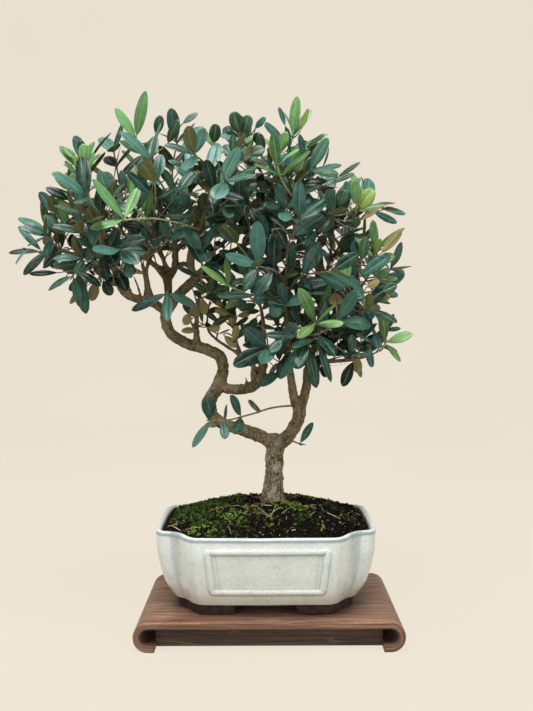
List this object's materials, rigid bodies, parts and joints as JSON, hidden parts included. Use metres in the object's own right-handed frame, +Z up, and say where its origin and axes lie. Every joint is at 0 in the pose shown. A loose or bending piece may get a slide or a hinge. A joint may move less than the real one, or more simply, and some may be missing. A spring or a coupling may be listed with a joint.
{
  "type": "olive bonsai in a pot on a stand",
  "caption": "Small olive tree trained as a bonsai with a forked trunk and a broad leafy crown, in a glazed oblong footed pot with soil, on a wooden stand with scroll ends.",
  "frame": {"origin": "centre of the bounding box's bottom face, on the surface that the stand rests on", "axes": "+Z up along the tree's height, +X along the stand's and pot's length to the right, +Y to the back"},
  "size_m": [0.3968, 0.2298, 0.5194],
  "materials": {
    "stand_wood": "oiled walnut-brown wood with open, straight grain along the board",
    "pot_glaze": "pale celadon glaze, glossy and faintly speckled; the feet are bare dark brown clay",
    "soil": "dark crumbly soil with moss on it",
    "screen_plastic": "moulded black plastic mesh",
    "bark": "rough grey-brown bark, paler and pitted low on the trunk",
    "leaf_mature": "leathery dark blue-green upper side, dull olive underside",
    "leaf_young": "soft bright green, paler underside"
  },
  "bodies": {
    "root": {"display_stand": "stand_wood", "pot_with_feet": "pot_glaze", "drain_screen_left": "screen_plastic", "drain_screen_right": "screen_plastic", "soil": "soil", "tree_wood": "bark", "young_shoot_crown_front_1": "leaf_young", "young_shoot_crown_centre_1": "leaf_young", "young_shoot_far_left_1": "leaf_young", "young_shoot_centre_up_1": "leaf_young", "young_shoot_centre_front_1": "leaf_young", "young_shoot_right_crown_1": "leaf_young", "young_shoot_right_out_1": "leaf_young", "young_shoot_right_front_1": "leaf_young", "young_shoot_right_low_1": "leaf_young", "young_shoot_low_branch_1": "leaf_young", "leafy_shoot_right_front_2": "leaf_mature", "leafy_shoot_right_limb_1": "leaf_mature", "leafy_shoot_far_left_2": "leaf_mature", "leafy_shoot_left_tip_1": "leaf_mature", "leafy_shoot_right_low_2": "leaf_mature", "leafy_shoot_left_tip_2": "leaf_mature", "leafy_shoot_left_tip_3": "leaf_mature", "leafy_shoot_far_left_3": "leaf_mature", "leafy_shoot_far_left_4": "leaf_mature", "leafy_shoot_left_back_1": "leaf_mature", "leafy_shoot_left_front_1": "leaf_mature", "leafy_shoot_right_front_3": "leaf_mature", "leafy_shoot_left_front_2": "leaf_mature", "leafy_shoot_crown_mid_1": "leaf_mature", "leafy_shoot_crown_mid_2": "leaf_mature", "leafy_shoot_upright_front_1": "leaf_mature", "leafy_shoot_right_front_4": "leaf_mature", "leafy_shoot_upright_back_1": "leaf_mature", "leafy_shoot_crown_back_left_1": "leaf_mature", "leafy_shoot_right_back_1": "leaf_mature", "leafy_shoot_crown_centre_2": "leaf_mature", "leafy_shoot_crown_front_2": "leaf_mature", "leafy_shoot_crown_front_3": "leaf_mature", "leafy_shoot_crown_back_1": "leaf_mature", "leafy_shoot_crown_back_2": "leaf_mature", "leafy_shoot_crown_right_1": "leaf_mature", "leafy_shoot_crown_right_2": "leaf_mature", "leafy_shoot_centre_up_2": "leaf_mature", "leafy_shoot_centre_back_1": "leaf_mature", "leafy_shoot_centre_front_2": "leaf_mature", "leafy_shoot_right_upper_1": "leaf_mature", "leafy_shoot_right_upper_2": "leaf_mature", "leafy_shoot_right_crown_back_1": "leaf_mature", "leafy_shoot_right_crown_2": "leaf_mature", "leafy_shoot_right_back_2": "leaf_mature", "leafy_shoot_right_back_3": "leaf_mature", "leafy_shoot_right_out_2": "leaf_mature", "leafy_shoot_right_front_5": "leaf_mature", "leafy_shoot_right_front_6": "leaf_mature", "leafy_shoot_right_upper_3": "leaf_mature", "leafy_shoot_right_front_7": "leaf_mature", "leafy_shoot_low_branch_2": "leaf_mature", "leafy_shoot_low_fork_1": "leaf_mature", "leafy_shoot_stump_1": "leaf_mature"}
  },
  "joints": []
}
